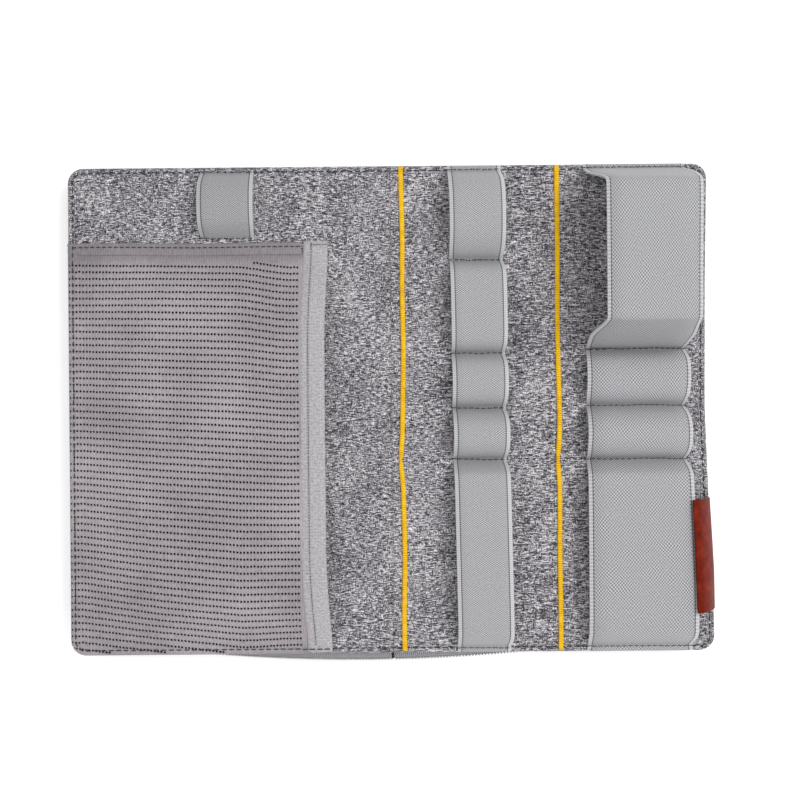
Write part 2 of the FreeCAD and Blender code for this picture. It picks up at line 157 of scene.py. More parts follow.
class Tree:
    """A material's nodes, with short ways to add them. place, and its x, y and z, are the Object or UV
    coordinates in millimetres."""

    def __init__(self, name, kind="Object"):
        self.material = bpy.data.materials.new(name)
        self.material.use_nodes = True
        self.nodes = self.material.node_tree.nodes
        self.links = self.material.node_tree.links
        self.shader = self.nodes["Principled BSDF"]
        coordinates = self.nodes.new("ShaderNodeTexCoord").outputs[kind]
        self.place = self.scale(coordinates, (1 / MM, 1 / MM, 1 / MM))
        split = self.nodes.new("ShaderNodeSeparateXYZ")
        self.links.new(self.place, split.inputs[0])
        self.x, self.y, self.z = split.outputs

    def fill(self, node, inputs, output=0):
        """Sets or links a node's inputs, given by number or name, and returns one of its outputs."""
        for key, value in inputs.items():
            if isinstance(value, bpy.types.NodeSocket):
                self.links.new(value, node.inputs[key])
            elif value is not None:
                node.inputs[key].default_value = value
        return node.outputs[output]

    def add(self, kind, inputs):
        return self.fill(self.nodes.new(kind), inputs)

    def math(self, operation, a, b=None, c=None):
        node = self.nodes.new("ShaderNodeMath")
        node.operation = operation
        return self.fill(node, {0: a, 1: b, 2: c})

    def times(self, a, b):
        return self.math("MULTIPLY", a, b)

    def plus(self, a, b):
        return self.math("ADD", a, b)

    def scale(self, socket, factors):
        node = self.nodes.new("ShaderNodeVectorMath")
        node.operation = "MULTIPLY"
        return self.fill(node, {0: socket, 1: factors})

    def noise(self, scale, detail=2.0, rough=0.5):
        """Noise over the material's place. scale is one number, or three to stretch it."""
        place = self.place
        if isinstance(scale, tuple):
            place, scale = self.scale(place, scale), 1.0
        return self.add("ShaderNodeTexNoise", {"Vector": place, "Scale": scale, "Detail": detail,
                                               "Roughness": rough})

    def stops(self, factor, colours):
        """A colour ramp through (position, linear RGBA) pairs."""
        node = self.nodes.new("ShaderNodeValToRGB")
        elements = node.color_ramp.elements
        while len(elements) < len(colours):
            elements.new(0.5)
        for element, (position, colour) in zip(elements, colours):
            element.position = position
            element.color = colour
        return self.fill(node, {0: factor})

    def ramp(self, factor, stops):
        """A colour ramp through (position, sRGB colour) pairs."""
        return self.stops(factor, [(position, linear(colour)) for position, colour in stops])

    def levels(self, value, low, high, stops):
        """A number read off (position, level) stops, as value goes from low to high."""
        colours = [(position, (level, level, level, 1.0)) for position, level in stops]
        return self.stops(self.fit(value, low, high), colours)

    def fit(self, value, low, high, to_low=0.0, to_high=1.0):
        return self.add("ShaderNodeMapRange", {"Value": value, "From Min": low, "From Max": high,
                                               "To Min": to_low, "To Max": to_high})

    def mix(self, factor, a, b):
        """Between two numbers or two value sockets."""
        return self.add("ShaderNodeMix", {0: factor, 2: a, 3: b})

    def dim(self, colour, amount):
        """A colour darkened by amount, from 0 to 1."""
        node = self.nodes.new("ShaderNodeMix")
        node.data_type = "RGBA"
        return self.fill(node, {0: amount, 6: colour, 7: (0.0, 0.0, 0.0, 1.0)}, 2)

    def half_up(self, swing):
        """-1 to 1 made 0 to 1."""
        return self.math("MULTIPLY_ADD", swing, 0.5, 0.5)

    def swing(self, value, pitch):
        """A sine of value, from -1 to 1, with that pitch."""
        return self.math("SINE", self.times(value, 2 * math.pi / pitch))

    def wave(self, value, pitch):
        """A sine of value, from 0 to 1, with that pitch."""
        return self.half_up(self.swing(value, pitch))

    def surface(self, colour, height=None, depth_mm=0.0, strength=0.6, **settings):
        """Ends the material with its colour, its bump and its shader's constants."""
        self.links.new(colour, self.shader.inputs["Base Color"])
        if height is not None:
            bump = self.add("ShaderNodeBump", {"Distance": depth_mm * MM, "Strength": strength,
                                               "Height": height})
            self.links.new(bump, self.shader.inputs["Normal"])
        for name, value in settings.items():
            self.shader.inputs[name.replace("_", " ")].default_value = value
        return self.material


# ---------------------------------------------------------------- materials

def floor_material():
    tree = Tree("studio_floor")
    tone = tree.ramp(tree.noise(0.02), [(0.0, grey(248, 1)), (1.0, grey(252, 1))])
    return tree.surface(tone, Roughness=0.9, Emission_Color=(1.0, 1.0, 1.0, 1.0), Emission_Strength=0.2)


def heather_material():
    """Melange cloth: light and dark yarns cross, each one changing shade along its length. Under the mesh
    pocket it is coloured darker as painted shade.
    """
    tree = Tree("heather_cloth")
    along_x = tree.noise((0.42, 2.8, 2.8), 3.0, 0.65)
    along_y = tree.noise((2.6, 0.55, 2.6), 3.0, 0.65)
    yarn = tree.mix(tree.fit(tree.noise(1.1, 3.0, 0.7), 0.49, 0.6), along_x, along_y)
    speck = tree.noise(2.4, 2.0, 0.7)
    value = tree.plus(tree.times(yarn, 0.74), tree.times(speck, 0.2))
    value = tree.plus(value, tree.times(tree.noise(0.05), 0.06))
    stops = [(0.41, (16, 15, 19)), (0.46, (64, 62, 68)), (0.5, (110, 107, 113)), (0.532, (153, 150, 155)),
             (0.574, (224, 221, 224))]
    # Painted shade: under the mesh pocket the cloth is coloured up to 94% darker, so the mesh holes read dark.
    # It goes by place and by height above the seam, so it also darkens the top of the left side wall under the
    # mesh.
    under_mesh = tree.times(tree.fit(tree.x, TAPE_LOW[0] + 3, TAPE_LOW[0] - 2),
                            tree.fit(tree.y, HEM_LOW[1] + 2, HEM_LOW[1] - 1))
    facing_up = tree.fit(tree.z, Z_SEAM + 4, Z_SEAM + 5)
    shade = tree.times(tree.times(under_mesh, facing_up), UNDER_MESH_SHADE)
    weave = tree.times(tree.wave(tree.x, 0.9), tree.wave(tree.y, 0.9))
    shades = tree.dim(tree.ramp(value, stops), shade)
    return tree.surface(shades, tree.plus(tree.times(weave, 0.4), value), 0.26, 0.8, Roughness=0.92,
                        Sheen_Weight=0.1, Sheen_Roughness=0.6, Specular_IOR_Level=0.2)


def elastic_material(name, width, across, along, share=1.0):
    """Woven elastic: small staggered floats between two corded selvedges. share darkens it a little, as painted
    shade.
    """
    tree = Tree(name, "UV")
    from_edge = tree.math("MINIMUM", tree.x, tree.math("SUBTRACT", width, tree.x))
    u = tree.plus(tree.x, tree.times(tree.noise(0.07, 2.0, 0.6), 2.6))
    v = tree.plus(tree.y, tree.times(tree.noise(0.09, 2.0, 0.6), 2.0))
    floats = tree.half_up(tree.times(tree.swing(u, across), tree.swing(v, along)))
    strength = tree.fit(tree.noise(0.11, 3.0), 0.35, 0.65, 0.45, 0.85)
    body = tree.mix(strength, tree.noise(1.3, 2.0, 0.7), floats)
    # Across each selvedge: the outermost 0.3 mm is darker, painted shade where the edge rolls over; a
    # near-black line lies about 2 mm in, along the groove beside the raised cord.
    cord = tree.levels(from_edge, 0.0, 3.2, [
        (0.0, 0.5), (0.1, 0.84), (0.28, 0.84), (0.33, 0.62), (0.38, 0.84), (0.5, 0.82), (0.56, 0.08),
        (0.64, 0.08), (0.7, 0.45)])
    ribs = tree.mix(0.22, cord, tree.wave(tree.y, along))
    value = tree.mix(tree.fit(from_edge, 2.4, 2.6), ribs, body)
    stops = [(0.05, 62), (0.35, 130), (0.65, 176), (0.97, 214)]
    shades = tree.ramp(value, [(position, grey(level * share)) for position, level in stops])
    return tree.surface(shades, value, 0.14, Roughness=0.8, Sheen_Weight=0.06, Specular_IOR_Level=0.2)


def grosgrain_material():
    """Flat tape with faint ribs across it."""
    tree = Tree("grosgrain_tape", "UV")
    ribs = tree.mix(0.5, tree.wave(tree.y, 1.4), tree.wave(tree.x, 1.1))
    value = tree.mix(0.9, ribs, tree.noise((0.7, 1.2, 1.0), 3.0, 0.7))
    shades = tree.ramp(value, [(0.3, (134, 132, 135)), (0.5, (166, 163, 167)), (0.7, (192, 189, 193))])
    return tree.surface(shades, value, 0.1, Roughness=0.75, Sheen_Weight=0.08, Specular_IOR_Level=0.3)


def mesh_material():
    """Knitted mesh: taupe, with faint ribs down it between the holes."""
    tree = Tree("mesh_cloth")
    fine = tree.noise((1.4, 0.5, 0.9), 3.0, 0.7)
    value = tree.mix(0.35, tree.mix(0.25, fine, tree.wave(tree.x, HOLE_PITCH / 2)), tree.noise(0.035))
    shades = tree.ramp(value, [(0.3, (124, 118, 122)), (0.5, (152, 146, 150)), (0.7, (177, 170, 175))])
    # The mesh is coloured up to 0.3 darker from just above its first row of holes up to the hem, and on the hem
    # roll too.
    darker_near_hem = tree.times(tree.fit(tree.y, FIRST_ROW - 2, FIRST_ROW + 3), 0.3)
    return tree.surface(tree.dim(shades, darker_near_hem), fine, 0.14, Roughness=0.85, Sheen_Weight=0.1,
                        Specular_IOR_Level=0.25)


def yellow_material():
    """Yellow binding tape with short cross ribs, worn a little darker here and there."""
    tree = Tree("yellow_binding")
    rib = tree.wave(tree.y, 0.8)
    value = tree.mix(0.4, tree.noise(0.35, 3.0, 0.65), rib)
    shades = tree.ramp(value, [(0.2, (168, 112, 2)), (0.5, (234, 180, 4)), (0.8, (250, 210, 26))])
    return tree.surface(shades, rib, 0.1, Roughness=0.7, Sheen_Weight=0.05, Specular_IOR_Level=0.25)


def leather_material():
    """Smooth rust-brown leather with a fine pebbled grain and lighter rubbed patches."""
    tree = Tree("brown_leather")
    grain = tree.add("ShaderNodeTexVoronoi", {"Vector": tree.place, "Scale": 1.7})
    fine = tree.noise(2.5, 3.0, 0.6)
    mottle = tree.mix(0.3, tree.noise(0.22, 4.0, 0.6), fine)
    shades = tree.ramp(mottle, [(0.3, (74, 14, 0)), (0.5, (104, 24, 5)), (0.7, (134, 42, 16))])
    return tree.surface(shades, tree.mix(0.4, grain, fine), 0.1, Roughness=0.5, Specular_IOR_Level=0.08)


def thread_material(name, level):
    tree = Tree(name)
    twist = tree.noise(5.0)
    shades = tree.ramp(twist, [(0.3, grey(level - 12)), (0.7, grey(level + 16))])
    return tree.surface(shades, twist, 0.08, Roughness=0.6, Specular_IOR_Level=0.4)


def zip_tape_material():
    """Woven zip tape with a herringbone."""
    tree = Tree("zip_tape_weave")
    chevron = tree.math("ABSOLUTE", tree.math("SUBTRACT", tree.wave(tree.y, 4.0), 0.5))
    ribs = tree.wave(tree.plus(tree.x, tree.times(chevron, 2.0)), 0.9)
    value = tree.mix(0.4, ribs, tree.noise(1.5, 2.0, 0.7))
    shades = tree.ramp(value, [(0.38, grey(40)), (0.5, grey(104)), (0.62, grey(184))])
    return tree.surface(shades, value, 0.12, Roughness=0.85)


def coil_material():
    """Semi-gloss nylon monofilament."""
    tree = Tree("zip_coil_nylon")
    shades = tree.ramp(tree.noise(0.5), [(0.3, grey(128)), (0.7, grey(168))])
    return tree.surface(shades, tree.noise(3.0), 0.03, 0.4, Roughness=0.35, Specular_IOR_Level=0.5)


def metal_material():
    """Dark satin plating, brighter in patches here and there."""
    tree = Tree("zip_metal_plating")
    shades = tree.ramp(tree.noise(0.9, 4.0, 0.7), [(0.35, grey(88, 4)), (0.7, grey(150, 4))])
    return tree.surface(shades, tree.noise((0.6, 6.0, 6.0)), 0.02, 0.5, Metallic=1.0, Roughness=0.34)


def lining_material():
    """Plain-weave lining in mid grey."""
    tree = Tree("lining_cloth")
    weave = tree.times(tree.wave(tree.x, 0.6), tree.wave(tree.y, 0.6))
    value = tree.mix(0.5, weave, tree.noise(0.3, 4.0, 0.6))
    shades = tree.ramp(value, [(0.1, grey(74)), (0.7, grey(104))])
    return tree.surface(shades, value, 0.08, Roughness=0.65, Sheen_Weight=0.2)


# ---------------------------------------------------------------- mesh helpers

LEFT_PULL = 1.7
RIGHT_PULL_Y = [-105, -75, -44, 0, 60, 110]
RIGHT_PULL = [0.9, 0.4, -1.1, -2.6, -2.0, -0.9]


def pulled(points):
    """Points moved as the filled pouch pulls its edges out of square: the left edge out, and the right
    edge in beside the mouse loop and out beside the phone loop."""
    points = np.array(points, float)
    x, y = points[:, 0], points[:, 1]
    left = -LEFT_PULL * smooth(-x, 60, HALF_X)
    right = np.interp(y, RIGHT_PULL_Y, RIGHT_PULL)
    points[:, 0] += left + right * smooth(x, 108, HALF_X)
    return points


def make_piece(name, points, faces, material, slot, uv=None, soft=True):
    """A smooth-shaded mesh object from points in millimetres. uv is one (u, v) per point, and a soft piece
    is pulled out of square with the panels."""
    mesh = bpy.data.meshes.new(name)
    places = pulled(points) if soft else np.asarray(points)
    mesh.from_pydata((places * MM).tolist(), [], faces)
    if uv is not None:
        layer = mesh.uv_layers.new(name="cloth")
        corners = np.zeros(len(mesh.loops), np.int32)
        mesh.loops.foreach_get("vertex_index", corners)
        layer.data.foreach_set("uv", (np.asarray(uv)[corners] * MM).astype(np.float32).ravel())
    mesh.polygons.foreach_set("use_smooth", [True] * len(mesh.polygons))
    mesh.materials.append(material)
    mesh.update()
    piece = bpy.data.objects.new(name, mesh)
    bpy.context.scene.collection.objects.link(piece)
    return piece


def on_front(piece, side=0):
    """The piece moves with the front when side is 0. side is -1 or 1 where it reaches the sewn left or right
    edge, and then the piece is only baked where it stands and doesn't move with the front.
    """
    if side:
        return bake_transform(piece)
    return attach(piece, "front_organizer")


def smooth(value, start, end):
    """0 before start, 1 after end, and a smooth step between."""
    share = np.clip((np.asarray(value, float) - start) / (end - start), 0, 1)
    return share * share * (3 - 2 * share)


def bell(value, middle, reach):
    """1 at middle, falling away within a few reaches."""
    return np.exp(-((value - middle) / reach) ** 2)


def ripple(x, y, size, seed):
    """A gentle unevenness of about plus or minus 1, with waves about size long."""
    turn = np.random.default_rng(seed)
    total = 0.0
    for _ in range(7):
        angle = turn.uniform(0, math.pi)
        length = size * turn.uniform(0.6, 1.8)
        phase = turn.uniform(0, 2 * math.pi)
        along = (x * math.cos(angle) + y * math.sin(angle)) * 2 * math.pi / length
        total = total + np.sin(along + phase)
    return total / 3.2


def grid(x_lines, y_lines):
    """The points of a grid, as one array of x and one of y."""
    return np.meshgrid(x_lines, y_lines, indexing="ij")


def grid_faces(rows, columns, offset=0, flip=False):
    """The quads of a grid of points numbered row by row."""
    first = (np.arange(rows - 1)[:, None] * columns + np.arange(columns - 1)[None, :] + offset).ravel()
    quads = np.stack([first, first + columns, first + columns + 1, first + 1], 1)
    if flip:
        quads = quads[:, ::-1]
    return quads.tolist()


def rim(rows, columns):
    """The numbers of a grid's border points, once round."""
    top = list(range(columns))
    right = [row * columns + columns - 1 for row in range(1, rows)]
    bottom = [(rows - 1) * columns + column for column in range(columns - 2, -1, -1)]
    left = [row * columns for row in range(rows - 2, 0, -1)]
    return top + right + bottom + left


def band_faces(first, second):
    """Quads between two rings of point numbers."""
    count = len(first)
    return [(first[i], first[(i + 1) % count], second[(i + 1) % count], second[i]) for i in range(count)]


def sleeve(sections, sides, start=0):
    """Faces of a tube with closed ends, from its points numbered ring by ring."""
    rings = [[start + i * sides + k for k in range(sides)] for i in range(sections)]
    faces = []
    for first, second in zip(rings, rings[1:]):
        faces += band_faces(first, second)
    return faces + [tuple(rings[0][::-1]), tuple(rings[-1])]


def unit(rows):
    rows = np.asarray(rows, float)
    return rows / np.maximum(np.linalg.norm(rows, axis=-1, keepdims=True), 1e-9)


def open_edges(faces):
    """The edges that only one face uses, each in that face's direction."""
    found = {}
    for face in faces:
        for edge in zip(face, face[1:] + face[:1]):
            if edge[::-1] in found:
                del found[edge[::-1]]
            else:
                found[edge] = True
    return list(found)


def closed_sheet(over, under, faces):
    """Points and faces of a sheet with two sides, walled at its border and round its holes."""
    count = len(over)
    back = [tuple(index + count for index in reversed(face)) for face in faces]
    walls = [(b, a, a + count, b + count) for a, b in open_edges(faces)]
    return np.concatenate([over, under]), faces + back + walls


def two_sided(over, under):
    """The same for two matching grids of points. over is the side that a grid's normals leave from."""
    rows, columns = over.shape[:2]
    faces = [tuple(face) for face in grid_faces(rows, columns, flip=True)]
    return closed_sheet(over.reshape(-1, 3), under.reshape(-1, 3), faces)


def lengths(points):
    """Distance along a line to each of its points."""
    steps = np.linalg.norm(np.diff(points, axis=0), axis=1)
    return np.concatenate([[0.0], np.cumsum(steps)])


def at_distance(points, stations):
    """The places at those distances along a line."""
    travel = lengths(points)
    return np.stack([np.interp(stations, travel, points[:, axis]) for axis in range(points.shape[1])], 1)


def resample(points, step):
    """Points about step apart along a line."""
    points = np.asarray(points, float)
    total = lengths(points)[-1]
    return at_distance(points, np.linspace(0, total, max(2, int(round(total / step)) + 1)))


def cut_corners(points, rounds=3, share=0.25):
    """Rounds a line off at its corners and keeps its ends."""
    points = np.asarray(points, float)
    for _ in range(rounds):
        near = points[:-1] * (1 - share) + points[1:] * share
        far = points[:-1] * share + points[1:] * (1 - share)
        middle = np.stack([near, far], 1).reshape(-1, points.shape[1])
        points = np.concatenate([points[:1], middle[1:-1], points[-1:]])
    return points


def strip(name, line, across, ring, material, slot, widths=None, up=None):
    """A strap along a line. ring is its section as (distance across, height) points, and widths
    scales it across at each point of the line. Its UV is distance across from its left edge, and along."""
    line = np.asarray(line, float)
    ring = np.asarray(ring, float)
    across = np.broadcast_to(np.asarray(across, float), line.shape)
    forward = unit(np.gradient(line, axis=0))
    up = unit(np.cross(across, forward)) if up is None else np.broadcast_to(up, line.shape)
    widths = np.ones(len(line)) if widths is None else np.asarray(widths, float)
    side = across[:, None, :] * (ring[None, :, 0] * widths[:, None])[:, :, None]
    lift = up[:, None, :] * ring[None, :, 1, None]
    points = (line[:, None, :] + side + lift).reshape(-1, 3)
    count = len(ring)
    faces = [face[::-1] for face in sleeve(len(line), count)]
    u = np.broadcast_to(ring[:, 0] - ring[:, 0].min(), (len(line), count))
    v = np.broadcast_to(lengths(line)[:, None], (len(line), count))
    return make_piece(name, points, faces, material, slot, np.stack([u, v], -1).reshape(-1, 2))


def tube(name, line, radius, material, slot, sides=6):
    """A round cord along a line that runs mostly along X."""
    forward = unit(np.gradient(line, axis=0))
    side_way = unit(np.cross(forward, np.tile([1.0, 0.2, 0.1], (len(line), 1))))
    up = np.cross(forward, side_way)
    turns = np.linspace(0, 2 * math.pi, sides, endpoint=False)
    rings = [line + radius * (math.cos(turn) * side_way + math.sin(turn) * up) for turn in turns]
    points = np.stack(rings, 1).reshape(-1, 3)
    return make_piece(name, points, sleeve(len(line), sides), material, slot, soft=False)


def strap_ring(width, thickness, selvedge=0.0, edge=1.9):
    """A flat strap's section, with rounded edges and, where selvedge isn't 0, raised borders."""
    half = width / 2
    high = thickness + selvedge
    top = [(-half, thickness * 0.5), (-half + 0.18, high * 0.88), (-half + 0.6, high)]
    if selvedge:
        top += [(-half + edge - 0.5, high), (-half + edge, thickness * 0.72), (-half + edge + 0.5, thickness)]
    steps = max(4, int(width / 2.0))
    inner = [(x, thickness) for x in np.linspace(-half + edge + 1.2, half - edge - 1.2, steps)]
    top = top + inner + [(-x, z) for x, z in top[::-1]]
    bottom = [(x, 0.0) for x in np.linspace(half - 0.25, -half + 0.25, 6)]
    return top + bottom


# ---------------------------------------------------------------- the panels' shape

def inside_distance(x, y):
    """How far a point is inside the panels' rounded outline."""
    qx = np.abs(x) - (HALF_X - CORNER)
    qy = np.abs(y) - (HALF_Y - CORNER)
    outside = np.hypot(np.maximum(qx, 0), np.maximum(qy, 0))
    return CORNER - outside - np.minimum(np.maximum(qx, qy), 0)


def sewn_edge(inside, groove):
    """How far a panel falls away at its rounded edge and in its stitched groove."""
    curve = np.clip(EDGE_ROUND - inside, 0, EDGE_ROUND)
    edge = EDGE_ROUND - np.sqrt(np.maximum(EDGE_ROUND ** 2 - curve ** 2, 0))
    return edge + groove * bell(inside, STITCH_INSET, 0.75)


def face_drop(x, y):
    """How far the face lies under its highest level: its sewn edge, its puckers and its unevenness."""
    inside = inside_distance(x, y)
    pucker = 0.12 * smooth(inside, 1.2, 2.6) * (1 - smooth(inside, 4, 9)) * ripple(x, y, 7.0, 3)
    level = 0.1 * (ripple(x, y, 46.0, 5) + 1) * smooth(inside, 2, 12)
    return sewn_edge(inside, 0.42) + pucker + level


def face_z(x, y):
    return Z_FACE - face_drop(x, y)


EDGE_LINES = [0.0, 0.12, 0.35, 0.7, 1.1, 1.6, 2.1, 2.5, 2.8, 3.1, 3.6, 4.3, 5.5, 7.0]


def panel_lines(low, high, step, fine_low=True, fine_high=True):
    """Grid positions from low to high: close together near an outline edge, about step apart elsewhere."""
    start = low + CORNER if fine_low else low
    end = high - CORNER if fine_high else high
    middle = np.linspace(start, end, int(round((end - start) / step)) + 1)
    lines = [low + d for d in EDGE_LINES[:-1]] if fine_low else []
    lines += middle.tolist()
    lines += [high - d for d in EDGE_LINES[-2::-1]] if fine_high else []
    return np.array(lines)


def round_corners(x, y, half_x, half_y, radius):
    """Bends a rectangular grid's four corner squares into quarter discs."""
    a = np.clip((np.abs(x) - (half_x - radius)) / radius, 0, 1)
    b = np.clip((np.abs(y) - (half_y - radius)) / radius, 0, 1)
    corner = (a > 0) & (b > 0)
    new_a = np.where(corner, a * np.sqrt(1 - b * b / 2), a)
    new_b = np.where(corner, b * np.sqrt(1 - a * a / 2), b)
    x = np.where(corner, np.sign(x) * (half_x - radius + new_a * radius), x)
    y = np.where(corner, np.sign(y) * (half_y - radius + new_b * radius), y)
    return x, y


WALL_ROWS = [(0.0, 0.75), (0.02, 0.4), (0.0, 0.14), (0.12, 0.04), (0.5, 0.0), (0.9, 0.1)]
LIP_START, LIP_END = -99.0, -107.5
LIP_LOW = 3.6
INNER = 4.15
LINING_INSET = 1.2


def panel_piece(name, x_lines, y_lines, outward, drop, material):
    """A padded panel's cloth: its face, its edge wall down to the seam, and its inner side.
    outward is 1 for the front and -1 for the back. Heights are measured from the seam."""
    gx, gy = grid(x_lines, y_lines)
    x, y = round_corners(gx, gy, HALF_X, HALF_Y, CORNER)
    height = (Z_FACE - Z_SEAM if outward > 0 else Z_SEAM) - drop(x, y)
    rows, columns = x.shape
    top = np.stack([x.ravel(), y.ravel(), height.ravel()], 1)
    inner = top.copy()
    inner[:, 0] *= (HALF_X - 1) / HALF_X
    inner[:, 1] *= (HALF_Y - 1) / HALF_Y
    inner[:, 2] = INNER
    edge = rim(rows, columns)
    border = top[edge]
    cut = np.abs(border[:, 0]) < HALF_X - CORNER
    cut &= np.abs(border[:, 1]) < HALF_Y - 1e-6
    normal = unit(np.stack([
        np.sign(border[:, 0]) * np.maximum(np.abs(border[:, 0]) - (HALF_X - CORNER), 0),
        np.sign(border[:, 1]) * np.maximum(np.abs(border[:, 1]) - (HALF_Y - CORNER), 0),
        np.zeros(len(border))], 1))
    lip = smooth(-border[:, 1], -LIP_START, -LIP_END)
    low = 0.04 + (LIP_LOW - 0.04) * lip
    points = [top]
    rings = [edge]
    total = len(top)
    for number, (inset, share) in enumerate(WALL_ROWS):
        ring = border - normal * inset
        ring[:, 2] = low + (border[:, 2] - low) * share
        through = (number + 1) / (len(WALL_ROWS) + 1)
        straight = border * (1 - through) + inner[edge] * through
        ring[cut] = straight[cut]
        points.append(ring)
        rings.append(list(range(total, total + len(edge))))
        total += len(edge)
    points.append(inner)
    rings.append([total + index for index in edge])
    faces = grid_faces(rows, columns, 0, flip=True)
    faces += grid_faces(rows, columns, total)
    for first, second in zip(rings, rings[1:]):
        faces += band_faces(first, second)
    points = np.concatenate(points)
    points[:, 2] = Z_SEAM + outward * points[:, 2]
    if outward < 0:
        faces = [tuple(reversed(face)) for face in faces]
    return make_piece(name, points, faces, material, "heather_cloth")


GRID_STEP = 1.6
BACK_STEP = 2.2


def back_drop(x, y):
    """The underside: its sewn edge, and flat where it rests."""
    return sewn_edge(inside_distance(x, y), 0.35)


def make_panels(cloth):
    y_lines = panel_lines(-HALF_Y, HALF_Y, GRID_STEP)
    left = panel_piece("front_panel_left", panel_lines(-HALF_X, 0, GRID_STEP, fine_high=False),
                       y_lines, 1, face_drop, cloth)
    right = panel_piece("front_panel_right", panel_lines(0, HALF_X, GRID_STEP, fine_low=False),
                        y_lines, 1, face_drop, cloth)
    for side, piece in ((-1, left), (1, right)):
        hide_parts("front_panel", "front_foam", "front_board")
        on_front(piece, side)
    back = panel_piece("back_panel_padded", panel_lines(-HALF_X, HALF_X, BACK_STEP),
                       panel_lines(-HALF_Y, HALF_Y, BACK_STEP), -1, back_drop, cloth)
    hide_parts("back_panel", "back_foam")
    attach(back, "back_shell")


def make_linings(cloth):
    """The cloth inside each panel."""
    for name, node, side, inward in (
            ("front_lining_left", "front_lining", -1, -1),
            ("front_lining_right", "front_lining", 1, -1),
            ("back_lining_cloth", "back_lining", 0, 1)):
        low_x = 0.0 if side > 0 else -HALF_X + LINING_INSET
        high_x = 0.0 if side < 0 else HALF_X - LINING_INSET
        x_lines = np.linspace(low_x, high_x, 60 if side else 110)
        y_lines = np.linspace(-HALF_Y + LINING_INSET, HALF_Y - LINING_INSET, 90)
        gx, gy = grid(x_lines, y_lines)
        x, y = round_corners(gx, gy, HALF_X - LINING_INSET, HALF_Y - LINING_INSET, CORNER - LINING_INSET)
        z = Z_SEAM - inward * INNER + inward * 0.1 * ripple(x, y, 30.0, 11)
        rough_side = np.stack([x, y, z + inward * 0.35], -1)
        foam_side = np.stack([x, y, z + inward * 0.02], -1)
        over, under = (rough_side, foam_side) if inward > 0 else (foam_side, rough_side)
        points, faces = two_sided(over, under)
        piece = make_piece(name, points, faces, cloth, "lining")
        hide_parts(node)
        if side:
            on_front(piece, side)
        else:
            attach(piece, "back_shell")


# ---------------------------------------------------------------- stitching

def outline(inset, step):
    """Points and directions once round the panels' outline, moved inwards by inset."""
    radius = CORNER - inset
    cx, cy = HALF_X - CORNER, HALF_Y - CORNER
    points = []
    for quarter, (sx, sy) in enumerate(((1, 1), (-1, 1), (-1, -1), (1, -1))):
        for angle in np.linspace(0, math.pi / 2, 9):
            turn = angle + quarter * math.pi / 2
            points.append((sx * cx + radius * math.cos(turn), sy * cy + radius * math.sin(turn)))
    points.append(points[0])
    path = resample(points, step)
    return path[:-1], unit(np.roll(path[:-1], -1, 0) - np.roll(path[:-1], 1, 0))


STITCH_SECTIONS = 5
STITCH_SIDES = 6
X_WAY = (1.0, 0.0, 0.0)
UP = (0.0, 0.0, 1.0)


def stitches(name, places, length, radius, material, slot, directions=X_WAY, ups=UP):
    """A row of thread stitches. Each one is a short tube whose ends dip into the cloth."""
    along = np.linspace(-0.5, 0.5, STITCH_SECTIONS)
    lift = radius * np.array([-1.2, 0.35, 0.75, 0.35, -1.2])
    thick = radius * np.array([0.7, 1.0, 1.0, 1.0, 0.7])
    turns = np.linspace(0, 2 * math.pi, STITCH_SIDES, endpoint=False)
    places = np.asarray(places, float)
    directions, ups = np.broadcast_to(directions, places.shape), np.broadcast_to(ups, places.shape)
    sides = np.cross(directions, ups)
    count = len(places)
    points = np.zeros((count, STITCH_SECTIONS, STITCH_SIDES, 3))
    for i in range(STITCH_SECTIONS):
        for k, turn in enumerate(turns):
            out = math.cos(turn) * thick[i]
            high = lift[i] + math.sin(turn) * thick[i]
            points[:, i, k] = places + directions * along[i] * length + sides * out + ups * high
    block = STITCH_SECTIONS * STITCH_SIDES
    faces = []
    for n in range(count):
        faces += sleeve(STITCH_SECTIONS, STITCH_SIDES, n * block)
    return make_piece(name, points.reshape(-1, 3), faces, material, slot)


def make_topstitch(thread):
    """The line of stitches once round each panel."""
    places, directions = outline(STITCH_INSET, STITCH_PITCH)
    flat = np.concatenate([directions, np.zeros((len(places), 1))], 1)
    high = face_z(places[:, 0], places[:, 1]) + cover_height(places[:, 0], places[:, 1]) + 0.14
    front = np.column_stack([places, high])
    for side, name in ((-1, "front_topstitch_left"), (1, "front_topstitch_right")):
        mine = front[:, 0] * side > 0
        row = stitches(name, front[mine], 2.6, 0.28, thread, "heather_cloth", flat[mine])
        on_front(row, side)
    low = back_drop(places[:, 0], places[:, 1]) - 0.02
    back = np.column_stack([places, low])
    row = stitches("back_topstitch", back, 2.5, 0.22, thread, "heather_cloth", flat, (0.0, 0.0, -1.0))
    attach(row, "back_shell")


# ---------------------------------------------------------------- slip pockets

WIDE_EDGE = node_box("slip_pocket_wide")[0][0]
NARROW_EDGE = node_box("slip_pocket_narrow")[0][0]
BINDING_WIDTH = 0.9 * (WIDE_EDGE - node_box("slip_binding_wide")[0][0])
DIVIDER_Y = -22.9


def pressed_thin(x, y):
    """The share of its thickness that a pocket's cloth keeps, less in the seam."""
    return 0.35 + 0.65 * smooth(inside_distance(x, y), 2.0, 6.0)


def cover_height(x, y):
    """How much the pockets' cloth adds over the face where the topstitch runs."""
    layers = smooth(x, WIDE_EDGE - 1.4, WIDE_EDGE - 1.0) + smooth(x, NARROW_EDGE - 1.4, NARROW_EDGE - 1.0)
    mesh = (x < TAPE_HIGH[0]) & (y < HEM_HIGH[1])
    bound = mesh & (x > TAPE_LOW[0])
    over_mesh = mesh * (MESH_CLOTH + mesh_z(x, y) - face_z(x, y))
    return POCKET_CLOTH * layers * pressed_thin(x, y) + over_mesh + bound * MESH_TAPE


def divider_dip(y):
    return 0.32 * bell(y, DIVIDER_Y, 0.9)


def edge_wander(y, seed):
    """The small sideways waver of a bound edge, nipped in at the divider seam."""
    return 0.35 * ripple(y, 0.0, 60.0, seed) - 0.9 * bell(y, DIVIDER_Y, 9.0)


